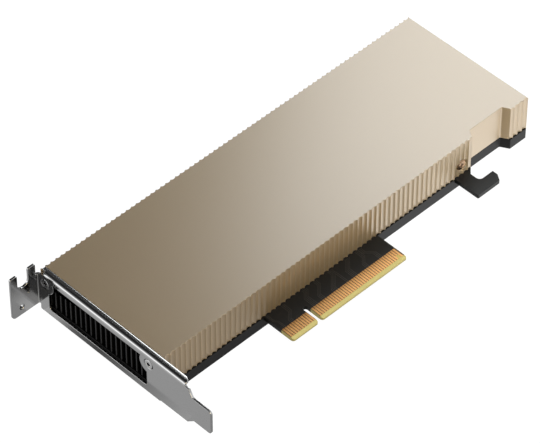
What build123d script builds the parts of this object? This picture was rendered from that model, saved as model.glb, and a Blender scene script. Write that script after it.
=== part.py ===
from build123d import *
import math
import os

# Passive accelerator card for a server: low profile, one slot, cooled by the chassis airflow.
# X runs along the card from the bracket to the far end, Y away from the edge connector and
# Z out of the component side. The origin is on the key notch's centre line, at the
# connector's lower edge, in the middle of the board's thickness. All sizes in millimetres.

# Card envelope
card_length = 167.65        # near end to far end of the shroud and tray
card_near_x = -57.15        # near end of the card, measured from the key notch
card_height = 68.9          # connector edge to the far long side
body_bottom_y = 13.35       # long side of the shroud and tray that faces the connector
shroud_rise = 14.10         # shroud top above the component side of the board
tray_drop = 4.40            # tray back below the component side of the board

# Fits
slide_fit = 0.10            # board in tray, heatsink in shroud
screw_fit = 0.05            # radial gap round a screw's shank
head_fit = 0.10             # radial gap round a screw's head
flange_fit = 0.04           # bracket flange over the shroud and tray

# Circuit board
board_t = 1.57
finger_top_y = 5.60         # upper end of the gold fingers
finger_low_y = 1.30         # lower end, where the lead-in chamfer starts
finger_width = 0.70
finger_pitch = 1.00
finger_t = 0.05
fingers_short = 11          # fingers before the key
fingers_long = 38           # fingers after the key
key_to_finger = 1.50        # key centre to the nearest finger on either side
key_width = 1.90
key_depth = 7.90
sense_pin_cut = 1.50        # how much shorter the presence finger is
tongue_near_x = -12.10
tongue_far_x = 39.45
tongue_corner_r = 0.80
edge_bevel_depth = 0.45     # lead-in chamfer, into the thickness
hook_from_notch = 7.50      # near side of the hook to the notch
hook_reach = 11.70          # near side to the tip
hook_neck_width = 5.45
hook_low_y = 2.95
hook_arm_top_y = 7.45
hook_shoulder_y = 11.60
hook_tip_chamfer = (1.50, 2.30)
hook_corner_r = 1.60
hook_heel_r = 0.40

# Notch in the long side, beside the hook
notch_end_land = 7.70       # far end of the card to the notch
notch_width = 19.20
notch_depth = 3.20
notch_slant = 30.0          # end walls, degrees from Y
notch_corner_r = 0.80

# Shroud
flute_count = 77
flute_depth = 0.60
flute_flats = 4             # flats that each flute's arc is cut into
shroud_wall = 1.60          # side wall, measured from the cusps
shroud_roof = 1.50
notch_wall = 1.20
boss_length = 7.00          # bosses that take the bracket screws
boss_wall = 1.25            # metal round the bore
boss_bore_depth = 6.00

# Tray
tray_floor = 1.00
rim_wall = 1.25
rim_ledge = 1.20            # shelf under the board's edge
end_wall = 2.65             # thicker wall at the bracket end
tray_boss_size = 5.20
film_t = 0.25

# Heatsink
base_gap = 2.60             # board to the underside of the base plate
base_t = 2.40
fin_count = 23
fin_t = 0.50
fin_roof_gap = 0.10
fin_near_gap = 1.70         # fins start behind the shroud's near end
fin_far_gap = 1.50
fin_overhang = 5.50         # fins reach past the base plate towards the bracket
fin_board_gap = 0.40        # fins above the board there
rail_width = 4.20
rail_height = 3.80
pedestal_x = 24.0
pedestal_y = 22.0
pedestal_t = 0.60
post_size = 5.50
post_bore_depth = 2.20      # threaded depth above the base's underside

# Bracket
sheet_t = 0.86
bracket_gap = 0.15          # sheet to the card's near end
bracket_width = 18.42
bracket_low = 4.22          # lowest edge below the component side of the board
bend_r = 0.50               # inside radius of every fold
flange_depth = 2.66         # from the outer face
bracket_length = 79.20      # seat of the tab to the tip of the tongue
tab_seat_gap = 0.10         # seat of the tab above the card's far long side
tongue_width = 10.19
tongue_length = 7.80        # tip to the foot of the neck
tip_r = 1.30
neck_rise = 2.05            # foot of the neck to the full width, on the flange side
neck_low_rise = 2.90        # the same on the low side
neck_shoulder = (1.35, 0.30)
tongue_drop = 0.25          # tongue's centre line below the face's
top_flange_from_neck = 1.75
top_flange_end_gap = 0.60   # end of the top flange below the far long side
low_flange_reach = 0.15     # low flange past the near long side
flange_corner = (1.60, 1.00)
fold_relief = 1.50          # top fold stops this much before its flange
window_low_land = 5.45      # near long side to the window
window_high_land = 4.65     # far long side to the window
window_low_z = -0.68        # above the component side of the board
window_high_z = 11.55
window_r = 1.20
screw_bulge_r = 4.10        # sheet kept round each bracket screw
low_screw_inset = 4.55      # bracket screws, from the near and far long sides
high_screw_inset = 2.90
bracket_screw_z = 9.80
tab_depth = 11.43           # from the outer face
tab_low_z = -1.05
tab_high_z = 17.35
tab_fold_high_z = 12.45
tab_relief_x = 0.90         # prong edge ahead of the outer face, above the fold
slot_centre_x = 6.27        # chassis screw slot, from the outer face
slot_width = 4.60
slot_bottom_z = 10.70
tab_hole_x = 7.35
tab_hole_z = 2.30
tab_hole_r = 0.95
tab_collar_wall = 0.55      # drawn collar behind the hole
tab_collar_reach = 0.60
tab_corner_r = 1.50
prong_r = 0.60

# Fasteners
m25_r = 1.25
m25_head_r = 2.10
m25_head_t = 0.84
bracket_screw_length = 6.20
tray_head_r = 2.20
tray_head_t = 0.80
tray_head_sink = 0.10       # heads below the tray's back
tray_screw_length = 7.70
side_screw_from_notch = 4.20
side_screw_z = 3.95
side_screw_r = 1.00
side_head_r = 2.10
side_head_t = 0.55
side_head_edge = 0.16       # chamfer round the head
side_seat_r = 2.55
side_seat_depth = 0.95
side_screw_length = 5.00
recess_length = 2.40
recess_width = 0.42
recess_depth = 0.45

# Chips and parts on the board
gpu_x = 18.0
gpu_package = (33.0, 33.0, 1.10)
gpu_die = (19.0, 17.0, 0.75)
memory = (12.0, 14.0, 1.10)
memory_offset_x = 27.0
memory_offset_y = 9.0
pad_inset = 0.50
inductor = (7.0, 7.0, 3.00)
inductor_pocket = 0.80
phase_pitch = 7.60
phase_margin = 7.00         # power phases stay this far inside both long sides
regulator_gap = 9.20        # memory to the first row of the voltage regulator
row_gap = 1.00              # between the regulator's rows
power_stage = (6.0, 5.0, 0.90)
polymer_cap = (7.3, 4.3, 1.90)
polymer_cap_pitch = 8.60
polymer_cap_margin = 10.00
ceramic_cap = (1.6, 0.8, 0.80)
ceramic_rows = 4
ceramic_columns = 5
ceramic_pitch = 3.00
power_controller = (6.0, 6.0, 0.90)
management_controller = (9.0, 9.0, 1.10)
firmware_flash = (5.3, 5.3, 1.80)
clock_crystal = (3.2, 2.5, 0.80)
input_fuse = (6.1, 2.7, 1.60)
near_chip_inset = 23.0      # near end of the card to the management controller
crystal_offset = (12.0, 15.0)
chip_row_offset = 9.0       # single chips to either side of the card's middle
gpu_post_x = 21.0
gpu_post_y = 19.5
near_post_inset = 11.15     # end posts from the near and far ends
far_post_inset = 7.50

# Levels and places that follow from the sizes above
board_top = board_t / 2
board_low = -board_t / 2
card_far_x = card_near_x + card_length
tab_seat_y = card_height + tab_seat_gap
notch_far_x = card_far_x - notch_end_land
notch_near_x = notch_far_x - notch_width
hook_near_x = notch_near_x - hook_from_notch
hook_tip_x = hook_near_x + hook_reach
hook_neck_x = hook_near_x + hook_neck_width
side_screw_x = notch_near_x - side_screw_from_notch
shroud_top_z = board_top + shroud_rise
roof_z = shroud_top_z - shroud_roof
tray_low_z = board_top - tray_drop
floor_top_z = tray_low_z + tray_floor
tray_seat_z = tray_low_z + tray_head_t + tray_head_sink
base_low_z = board_top + base_gap
base_top_z = base_low_z + base_t
centre_y = (body_bottom_y + card_height) / 2
inner_low_y = body_bottom_y + shroud_wall
inner_high_y = card_height - shroud_wall
bracket_inner_x = card_near_x - bracket_gap
bracket_outer_x = bracket_inner_x - sheet_t
bracket_low_z = board_top - bracket_low
bracket_high_z = bracket_low_z + bracket_width
flange_end_x = bracket_outer_x + flange_depth
tip_y = tab_seat_y - bracket_length
neck_foot_y = tip_y + tongue_length
neck_step_y = neck_foot_y + neck_rise
neck_low_y = neck_foot_y + neck_low_rise
top_flange_low_y = neck_step_y + top_flange_from_neck
top_flange_high_y = card_height - top_flange_end_gap
low_flange_low_y = body_bottom_y - low_flange_reach
bracket_screw_y = (body_bottom_y + low_screw_inset, card_height - high_screw_inset)
boss_reach = m25_r + screw_fit + boss_wall
board_inset = rim_wall + slide_fit
board_near_x = card_near_x + end_wall + slide_fit
heatsink_near_x = card_near_x + fin_near_gap
heatsink_far_x = card_far_x - fin_far_gap
heatsink_low_y = inner_low_y + slide_fit
heatsink_high_y = inner_high_y - slide_fit
paste_t = base_gap - gpu_package[2] - gpu_die[2] - pedestal_t
polymer_cap_x = gpu_x + memory_offset_x + memory[0] / 2 + regulator_gap + polymer_cap[0] / 2
phase_x = polymer_cap_x + polymer_cap[0] / 2 + row_gap + inductor[0] / 2
stage_x = phase_x + inductor[0] / 2 + row_gap + power_stage[0] / 2
near_chip_x = card_near_x + near_chip_inset
far_chip_x = (stage_x + power_stage[0] / 2 + card_far_x) / 2


def block(x0, x1, y0, y1, z0, z1):
    """Box between two corners."""
    return Pos((x0 + x1) / 2, (y0 + y1) / 2, (z0 + z1) / 2) * Box(x1 - x0, y1 - y0, z1 - z0)


def prism(points, z0, z1):
    """Upright prism on a polygon given as (x, y) points."""
    face = make_face(Polyline(*points, close=True))
    return Pos(0, 0, z0) * extrude(face, z1 - z0)


def rod(x, y, radius, z0, z1):
    """Upright cylinder."""
    return Pos(x, y, (z0 + z1) / 2) * Cylinder(radius, z1 - z0)


def seat_on(x, y, size, z0):
    """Rectangular part of a given size that stands on the level z0."""
    return Pos(x, y, z0 + size[2] / 2) * Box(*size)


def column(x, y, size, z0, z1):
    """Upright square column between two levels."""
    return seat_on(x, y, (size, size, z1 - z0), z0)


def places_across(pitch, margin):
    """As many places across the card as fit between its long sides at this pitch."""
    room = card_height - body_bottom_y - 2 * margin
    steps = int(room / pitch)
    return [centre_y + (i - steps / 2) * pitch for i in range(steps + 1)]


def notch_prism(grow, z0, z1):
    """Notch in the long side, widened by grow so that walls and clearances follow it."""
    run = notch_depth * math.tan(math.radians(notch_slant))
    side = grow / math.cos(math.radians(notch_slant))
    inner_y = body_bottom_y + notch_depth + grow
    slope = math.tan(math.radians(notch_slant))
    outer_y = body_bottom_y - 2 * notch_depth
    spread = (inner_y - outer_y) * slope
    near = notch_near_x + run - side + grow * slope
    far = notch_far_x - run + side - grow * slope
    solid = prism(
        [(near - spread, outer_y), (near, inner_y), (far, inner_y), (far + spread, outer_y)], z0, z1
    )
    inner_edges = solid.edges().filter_by(Axis.Z).sort_by(Axis.Y)[-2:]
    return fillet(inner_edges, notch_corner_r + grow)


def screw_posts():
    """Centres of the screws that clamp the tray, board and heatsink together."""
    ends = (card_near_x + near_post_inset, card_far_x - far_post_inset)
    posts = [(x, centre_y) for x in ends]
    for sx in (-1, 1):
        posts += [(gpu_x + sx * gpu_post_x, centre_y + sy * gpu_post_y) for sy in (-1, 1)]
    return posts


def memory_places():
    """Centres of the memory chips, in two columns beside the processor."""
    columns = (gpu_x - memory_offset_x, gpu_x + memory_offset_x)
    return [(x, centre_y + sy * memory_offset_y) for x in columns for sy in (-1, 1)]


def phase_places():
    """Centres of the power phases, in one column across the card."""
    return [(phase_x, y) for y in places_across(phase_pitch, phase_margin)]


def cross_recess(z_top):
    """Two crossed slots for a driver, cut down from z_top."""
    slot = Box(recess_length, recess_width, 2 * recess_depth)
    return Pos(0, 0, z_top) * (slot + Rot(0, 0, 90) * slot)


def countersunk_screw(shank_r, head_r, head_t, length):
    """Flat-head screw whose head top is at z = 0 and whose shank points down."""
    head = Pos(0, 0, -head_t / 2) * Cone(shank_r, head_r, head_t)
    shank = Pos(0, 0, -length / 2) * Cylinder(shank_r, length)
    return head + shank - cross_recess(0)


def countersunk_hole(shank_r, head_r, head_t, length):
    """Matching hole, larger all round by the screw and head clearances."""
    grow = head_fit
    cone = Pos(0, 0, -head_t / 2) * Cone(shank_r + screw_fit, head_r + grow, head_t)
    mouth = Pos(0, 0, grow) * Cylinder(head_r + grow, 2 * grow)
    return cone + mouth + Pos(0, 0, -length / 2) * Cylinder(shank_r + screw_fit, length)


def low_head_screw(shank_r, head_r, head_t, length, edge=0.0):
    """Low cylinder-head screw that seats at z = 0, its shank down and its head's edge chamfered."""
    head = Pos(0, 0, head_t / 2) * Cylinder(head_r, head_t)
    if edge:
        head = chamfer(head.edges().group_by(Axis.Z)[-1], edge)
    shank = Pos(0, 0, -length / 2) * Cylinder(shank_r, length)
    return head + shank - cross_recess(head_t)


def counterbore(shank_r, head_r, depth, length):
    """Matching hole, with a flat seat at z = 0 and room for the head above it."""
    mouth = Pos(0, 0, depth) * Cylinder(head_r + head_fit, 2 * depth)
    return mouth + Pos(0, 0, -length / 2) * Cylinder(shank_r + screw_fit, length)


def bracket_screw_seats():
    """Locations of the bracket screws, heads on the outer face, shanks along +X."""
    z = board_top + bracket_screw_z
    return [Location((bracket_outer_x, y, z), (0, -90, 0)) for y in bracket_screw_y]


def screw_bosses(grow, far_x, z1):
    """Blocks round the bracket screws' bores, widened by grow for the room they need."""
    low_y, high_y = bracket_screw_y
    near_x = card_near_x - grow
    low_z = board_top + bracket_screw_z - boss_reach - grow
    return [block(near_x, far_x, inner_low_y - grow, low_y + boss_reach + grow, low_z, z1),
            block(near_x, far_x, high_y - boss_reach - grow, inner_high_y + grow, low_z, z1)]


def side_screw_seats():
    """Locations of the side screws' head seats on both long sides of the shroud."""
    z = board_top + side_screw_z
    low = Location((side_screw_x, body_bottom_y + side_seat_depth, z), (90, 0, 0))
    high = Location((side_screw_x, card_height - side_seat_depth, z), (-90, 0, 0))
    return [low, high]


def tray_screw_seats():
    """Locations of the tray screws' head seats in the tray's back, shanks along +Z."""
    return [Location((x, y, tray_seat_z), (180, 0, 0)) for x, y in screw_posts()]


def flute_points(x0, pitch, side_y, inward):
    """Points of one flute's arc, cut into flats, from its first cusp up to the next one."""
    radius = ((pitch / 2) ** 2 + flute_depth ** 2) / (2 * flute_depth)
    half_angle = math.asin(pitch / 2 / radius)
    points = []
    for k in range(flute_flats):
        angle = half_angle * (2 * k / flute_flats - 1)
        sag = radius * (math.cos(angle) - math.cos(half_angle))
        points.append((x0 + pitch / 2 + radius * math.sin(angle), side_y + inward * sag))
    return points


def fluted_outline():
    """Outline of the shroud: sharp cusps between concave flutes along both long sides."""
    pitch = card_length / flute_count
    low, high = [], []
    for i in range(flute_count):
        x0 = card_near_x + i * pitch
        low += flute_points(x0, pitch, body_bottom_y, 1)
        high += flute_points(x0, pitch, card_height, -1)
    low.append((card_far_x, body_bottom_y))
    high.append((card_far_x, card_height))
    return make_face(Polyline(*low, *reversed(high), close=True))


def make_shroud():
    """Fluted cover, open below and at both ends, with bosses for the bracket screws."""
    shell = Pos(0, 0, board_top) * extrude(fluted_outline(), shroud_rise)
    cavity = block(card_near_x - 1, card_far_x + 1, inner_low_y, inner_high_y,
                   board_top - 1, roof_z)
    cavity -= notch_prism(notch_wall, board_top - 2, roof_z + 1)
    shell -= cavity
    shell -= notch_prism(0, board_top - 1, shroud_top_z + 1)
    for boss in screw_bosses(0, card_near_x + boss_length, roof_z):
        shell += boss
    flange_low_z = bracket_high_z - sheet_t - flange_fit
    shell -= block(card_near_x - 1, flange_end_x + slide_fit, body_bottom_y - 1,
                   top_flange_high_y + slide_fit, flange_low_z, shroud_top_z + 1)
    shell -= block(card_near_x - 1, bracket_inner_x + bend_r, body_bottom_y - 1,
                   top_flange_high_y + slide_fit, flange_low_z - bend_r, shroud_top_z + 1)
    for seat in bracket_screw_seats():
        bore = Cylinder(m25_r + screw_fit, 2 * (boss_bore_depth + bracket_gap + sheet_t))
        shell -= seat * bore
    for seat in side_screw_seats():
        shell -= seat * (Pos(0, 0, side_seat_r) * Cylinder(side_seat_r, 2 * side_seat_r))
        shell -= seat * Cylinder(side_screw_r + screw_fit, 3 * shroud_wall)
    return shell


def make_heatsink():
    """Base plate with edge rails, long fins, a pedestal over the die and screw posts."""
    x0, x1 = heatsink_near_x, heatsink_far_x
    y0, y1 = heatsink_low_y, heatsink_high_y
    base_x = x0 + fin_overhang
    sink = block(base_x, x1, y0, y1, base_low_z, base_top_z)
    rail_z = base_low_z + rail_height
    sink += block(base_x, x1, y0, y0 + rail_width, base_low_z, rail_z)
    sink += block(base_x, x1, y1 - rail_width, y1, base_low_z, rail_z)
    pitch = (y1 - y0 - fin_t) / (fin_count - 1)
    for i in range(fin_count):
        y = y0 + i * pitch
        fin = block(base_x, x1, y, y + fin_t, base_low_z, roof_z - fin_roof_gap)
        fin += block(x0, base_x, y, y + fin_t, board_top + fin_board_gap, roof_z - fin_roof_gap)
        sink += fin
    pedestal = (pedestal_x, pedestal_y, pedestal_t)
    sink += seat_on(gpu_x, centre_y, pedestal, base_low_z - pedestal_t)
    for x, y in screw_posts():
        sink += column(x, y, post_size, board_top, base_top_z)
    sink -= notch_prism(notch_wall + slide_fit, board_top - 1, shroud_top_z)
    for boss in screw_bosses(2 * slide_fit, card_near_x + boss_length + slide_fit, shroud_top_z):
        sink -= boss
    for x, y in phase_places():
        sink -= seat_on(x, y, (inductor[0] + 1, inductor[1] + 1, inductor_pocket), base_low_z)
    for x, y in screw_posts():
        sink -= rod(x, y, m25_r + screw_fit, board_top - 1, base_low_z + post_bore_depth)
    for seat in side_screw_seats():
        sink -= seat * Cylinder(side_screw_r + screw_fit, 2 * (side_screw_length + screw_fit))
    return sink


def hook_outline():
    """Retention hook that locks the card into its slot, at the board's far end."""
    cut_x, cut_y = hook_tip_chamfer
    root_y = body_bottom_y + board_inset
    return [
        (hook_near_x, root_y),
        (hook_near_x, hook_low_y),
        (hook_tip_x - cut_x, hook_low_y),
        (hook_tip_x, hook_low_y + cut_y),
        (hook_tip_x, hook_arm_top_y),
        (hook_neck_x, hook_arm_top_y),
        (hook_neck_x, hook_shoulder_y),
        (notch_near_x - slide_fit, body_bottom_y),
        (notch_near_x - slide_fit, root_y),
    ]


def make_board():
    """Circuit board with its keyed edge connector and retention hook."""
    main = block(board_near_x, card_far_x - board_inset, body_bottom_y + board_inset,
                 card_height - board_inset, board_low, board_top)
    main -= notch_prism(board_inset, board_low - 1, board_top + 1)
    tongue = block(tongue_near_x, tongue_far_x, 0, body_bottom_y + board_inset,
                   board_low, board_top)
    key = block(-key_width / 2, key_width / 2, -1, key_depth, board_low - 1, board_top + 1)
    tongue -= fillet(key.edges().filter_by(Axis.Z).sort_by(Axis.Y)[-2:], key_width * 0.49)
    corners = tongue.edges().filter_by(Axis.Z).filter_by(lambda e: abs(e.center().Y) < 0.01)
    tongue = fillet(corners, tongue_corner_r)
    for side in (-1, 1):
        face_z = side * board_t / 2
        wedge = make_face(Polyline(
            (0, -1, face_z - side * edge_bevel_depth * (1 + 1 / finger_low_y)),
            (0, finger_low_y, face_z), (0, finger_low_y, face_z + side),
            (0, -1, face_z + side), close=True))
        span = tongue_far_x - tongue_near_x + 2
        tongue -= extrude(Pos(tongue_near_x - 1, 0, 0) * wedge, span, dir=(1, 0, 0))
    hook = prism(hook_outline(), board_low, board_top)
    for x, y, radius in ((hook_neck_x, hook_arm_top_y, hook_corner_r),
                         (hook_near_x, hook_low_y, hook_heel_r)):
        bend = hook.edges().filter_by(Axis.Z).sort_by_distance((x, y, 0))[0]
        hook = fillet(bend, radius)
    board = main + tongue + hook
    for x, y in screw_posts():
        board -= rod(x, y, m25_r + 3 * screw_fit, board_low - 1, board_top + 1)
    return board


def make_fingers(z0, sense_index):
    """Row of gold fingers on one side of the connector; the presence finger is shorter."""
    xs = [-key_to_finger - finger_pitch * i for i in reversed(range(fingers_short))]
    xs += [key_to_finger + finger_pitch * i for i in range(fingers_long)]
    fingers = []
    for i, x in enumerate(xs):
        low_y = finger_low_y + (sense_pin_cut if i == sense_index else 0)
        fingers.append(block(x - finger_width / 2, x + finger_width / 2, low_y, finger_top_y,
                             z0, z0 + finger_t))
    return fingers


def make_tray():
    """Back tray: floor, rim round the board, ledge and bosses that carry it."""
    tray = block(card_near_x, card_far_x, body_bottom_y, card_height, tray_low_z, board_top)
    pocket = block(card_near_x + end_wall, card_far_x - rim_wall, body_bottom_y + rim_wall,
                   card_height - rim_wall, board_low, board_top + 1)
    pocket -= notch_prism(rim_wall, board_low - 1, board_top + 2)
    deep = rim_wall + rim_ledge
    well = block(card_near_x + end_wall + rim_ledge, card_far_x - deep, body_bottom_y + deep,
                 card_height - deep, floor_top_z, board_top)
    well -= notch_prism(deep, floor_top_z - 1, board_top + 1)
    tray -= pocket + well
    tray -= notch_prism(0, tray_low_z - 1, board_top + 1)
    for x, y in screw_posts():
        tray += column(x, y, tray_boss_size, floor_top_z - tray_floor / 2, board_low)
    tray -= block(tongue_near_x - slide_fit, tongue_far_x + slide_fit, body_bottom_y - 1,
                  body_bottom_y + rim_wall + 0.5, board_low, board_top + 1)
    tray -= block(hook_near_x - slide_fit, notch_near_x + slide_fit, body_bottom_y - 1,
                  body_bottom_y + rim_wall + 0.5, board_low, board_top + 1)
    flange_top_z = bracket_low_z + sheet_t + flange_fit
    tray -= block(card_near_x - 1, flange_end_x + slide_fit, body_bottom_y - 1, card_height + 1,
                  tray_low_z - 1, flange_top_z)
    tray -= block(card_near_x - 1, bracket_inner_x + bend_r, body_bottom_y - 1, card_height + 1,
                  tray_low_z - 1, flange_top_z + bend_r)
    for seat in tray_screw_seats():
        tray -= seat * counterbore(m25_r, tray_head_r, tray_head_t + tray_head_sink,
                                   tray_drop - board_t + 1)
    return tray


def make_film():
    """Insulating film on the tray's floor, cut out round the bosses and memory pads."""
    deep = rim_wall + rim_ledge + slide_fit
    film = block(card_near_x + end_wall + rim_ledge + slide_fit, card_far_x - deep,
                 body_bottom_y + deep, card_height - deep, floor_top_z, floor_top_z + film_t)
    film -= notch_prism(deep, floor_top_z - 1, floor_top_z + 1)
    for x, y in screw_posts():
        film -= column(x, y, tray_boss_size + 2 * slide_fit, floor_top_z - 1, floor_top_z + 1)
    for x, y in memory_places():
        film -= block(x - memory[0] / 2, x + memory[0] / 2, y - memory[1] / 2,
                      y + memory[1] / 2, floor_top_z - 1, floor_top_z + 1)
    return film


def plate_x(points, x0, x1):
    """Flat sheet in the YZ plane on a polygon given as (y, z) points."""
    face = make_face(Polyline(*[(x0, y, z) for y, z in points], close=True))
    return extrude(face, x1 - x0, dir=(1, 0, 0))


def folded_flange(fold_z, side, y0, y1):
    """Quarter-round fold from the face into a flange; side is +1 at the top, -1 below."""
    outer_r = bend_r + sheet_t
    cx = bracket_outer_x + outer_r
    cz = fold_z - side * outer_r
    out_arc = ThreePointArc((bracket_outer_x, y0, cz),
                            (cx - outer_r * math.sqrt(0.5), y0, cz + side * outer_r * math.sqrt(0.5)),
                            (cx, y0, fold_z))
    in_arc = ThreePointArc((cx, y0, fold_z - side * sheet_t),
                           (cx - bend_r * math.sqrt(0.5), y0, cz + side * bend_r * math.sqrt(0.5)),
                           (bracket_inner_x, y0, cz))
    edges = [
        out_arc,
        Line((cx, y0, fold_z), (flange_end_x, y0, fold_z)),
        Line((flange_end_x, y0, fold_z), (flange_end_x, y0, fold_z - side * sheet_t)),
        Line((flange_end_x, y0, fold_z - side * sheet_t), (cx, y0, fold_z - side * sheet_t)),
        in_arc,
        Line((bracket_inner_x, y0, cz), (bracket_outer_x, y0, cz)),
    ]
    return extrude(make_face(edges), y1 - y0, dir=(0, 1, 0))


def trim_corner(flange, end_y, inward, level):
    """Flange with the free corner at one end cut away at a slant."""
    run, depth = flange_corner
    corner = prism([(flange_end_x - depth, end_y), (flange_end_x + 1, end_y - inward),
                    (flange_end_x + 1, end_y + inward * run), (flange_end_x, end_y + inward * run)],
                   level - 2 * sheet_t, level + 2 * sheet_t)
    return flange - corner


def make_tab():
    """Folded ear with the open slot for the chassis screw."""
    z0 = board_top + tab_low_z
    z1 = board_top + tab_high_z
    fold_z1 = board_top + tab_fold_high_z
    tip_x = bracket_outer_x - tab_depth
    fold_x = bracket_outer_x - bend_r
    prong_x = bracket_outer_x - tab_relief_x
    slot_x = bracket_outer_x - slot_centre_x
    half = slot_width / 2
    floor_z = board_top + slot_bottom_z
    points = [(tip_x, z0), (fold_x, z0), (fold_x, fold_z1), (prong_x, fold_z1), (prong_x, z1),
              (slot_x + half, z1), (slot_x + half, floor_z), (slot_x - half, floor_z),
              (slot_x - half, z1), (tip_x, z1)]
    face = make_face(Polyline(*[(x, tab_seat_y, z) for x, z in points], close=True))
    tab = extrude(face, sheet_t, dir=(0, 1, 0))
    upright = tab.edges().filter_by(Axis.Y)
    floor = upright.filter_by(lambda e: abs(e.center().Z - floor_z) < 0.01)
    tab = fillet(floor, half * 0.98)
    upright = tab.edges().filter_by(Axis.Y)
    tips = upright.filter_by(lambda e: abs(e.center().Z - z1) < 0.01)
    tab = fillet(tips, prong_r)
    upright = tab.edges().filter_by(Axis.Y)
    foot = upright.filter_by(lambda e: abs(e.center().Z - z0) < 0.01 and e.center().X < tip_x + 0.01)
    tab = fillet(foot, tab_corner_r)
    hole = Location((bracket_outer_x - tab_hole_x, tab_seat_y, board_top + tab_hole_z), (90, 0, 0))
    depth = sheet_t + tab_collar_reach
    tab += hole * (Pos(0, 0, -depth / 2) * Cylinder(tab_hole_r + tab_collar_wall, depth))
    tab -= hole * Cylinder(tab_hole_r, 3 * depth)
    return tab


def make_tab_fold():
    """Quarter-round fold between the bracket's face and its ear."""
    outer_r = bend_r + sheet_t
    cx = bracket_outer_x - bend_r
    cy = tab_seat_y - bend_r
    z0 = board_top + tab_low_z
    s = math.sqrt(0.5)
    out_arc = ThreePointArc((cx + outer_r, cy, z0), (cx + outer_r * s, cy + outer_r * s, z0),
                            (cx, cy + outer_r, z0))
    in_arc = ThreePointArc((cx, cy + bend_r, z0), (cx + bend_r * s, cy + bend_r * s, z0),
                           (cx + bend_r, cy, z0))
    edges = [out_arc, Line((cx, cy + outer_r, z0), (cx, cy + bend_r, z0)), in_arc,
             Line((cx + bend_r, cy, z0), (cx + outer_r, cy, z0))]
    return extrude(make_face(edges), tab_fold_high_z - tab_low_z, dir=(0, 0, 1))


def make_bracket():
    """Slot bracket folded from one sheet: vented face, two flanges, ear and tongue."""
    outer_r = bend_r + sheet_t
    high = bracket_high_z - outer_r
    low = bracket_low_z + outer_r
    mid = (bracket_low_z + bracket_high_z) / 2 - tongue_drop
    tongue_high = mid + tongue_width / 2
    tongue_low = mid - tongue_width / 2
    end_y = tab_seat_y - bend_r
    face = plate_x([
        (end_y, high), (neck_step_y, high),
        (neck_step_y - neck_shoulder[0], tongue_high + neck_shoulder[1]),
        (neck_foot_y, tongue_high), (tip_y, tongue_high), (tip_y, tongue_low),
        (neck_foot_y, tongue_low), (neck_low_y, low), (end_y, low)
    ], bracket_outer_x, bracket_inner_x)
    tips = face.edges().filter_by(Axis.X).filter_by(lambda e: abs(e.center().Y - tip_y) < 0.01)
    face = fillet(tips, tip_r)
    window = block(bracket_outer_x - 1, bracket_inner_x + 1, body_bottom_y + window_low_land,
                   card_height - window_high_land, board_top + window_low_z,
                   board_top + window_high_z)
    window = fillet(window.edges().filter_by(Axis.X), window_r)
    for seat in bracket_screw_seats():
        window -= seat * Cylinder(screw_bulge_r, 8 * sheet_t)
    bracket = face - window
    top_flange = folded_flange(bracket_high_z, 1, top_flange_low_y, top_flange_high_y)
    top_flange -= block(bracket_outer_x - 1, bracket_outer_x + outer_r,
                        top_flange_high_y - fold_relief, top_flange_high_y + 1,
                        high, bracket_high_z + 1)
    bracket += trim_corner(top_flange, top_flange_low_y, 1, bracket_high_z)
    low_flange = folded_flange(bracket_low_z, -1, low_flange_low_y, end_y)
    bracket += trim_corner(low_flange, low_flange_low_y, 1, bracket_low_z)
    bracket += make_tab_fold() + make_tab()
    for seat in bracket_screw_seats():
        bracket -= seat * countersunk_hole(m25_r, m25_head_r, m25_head_t, 2 * sheet_t)
    return bracket


def place_all(solid, seats):
    """One copy of a fastener at each seat."""
    return [seat * solid for seat in seats]


def top_parts(places, size, z0=board_top):
    """Like parts standing on the component side."""
    return [seat_on(x, y, size, z0) for x, y in places]


def back_parts(places, size, z1=board_low):
    """Like parts hanging under the board's back."""
    return [seat_on(x, y, size, z1 - size[2]) for x, y in places]


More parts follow.
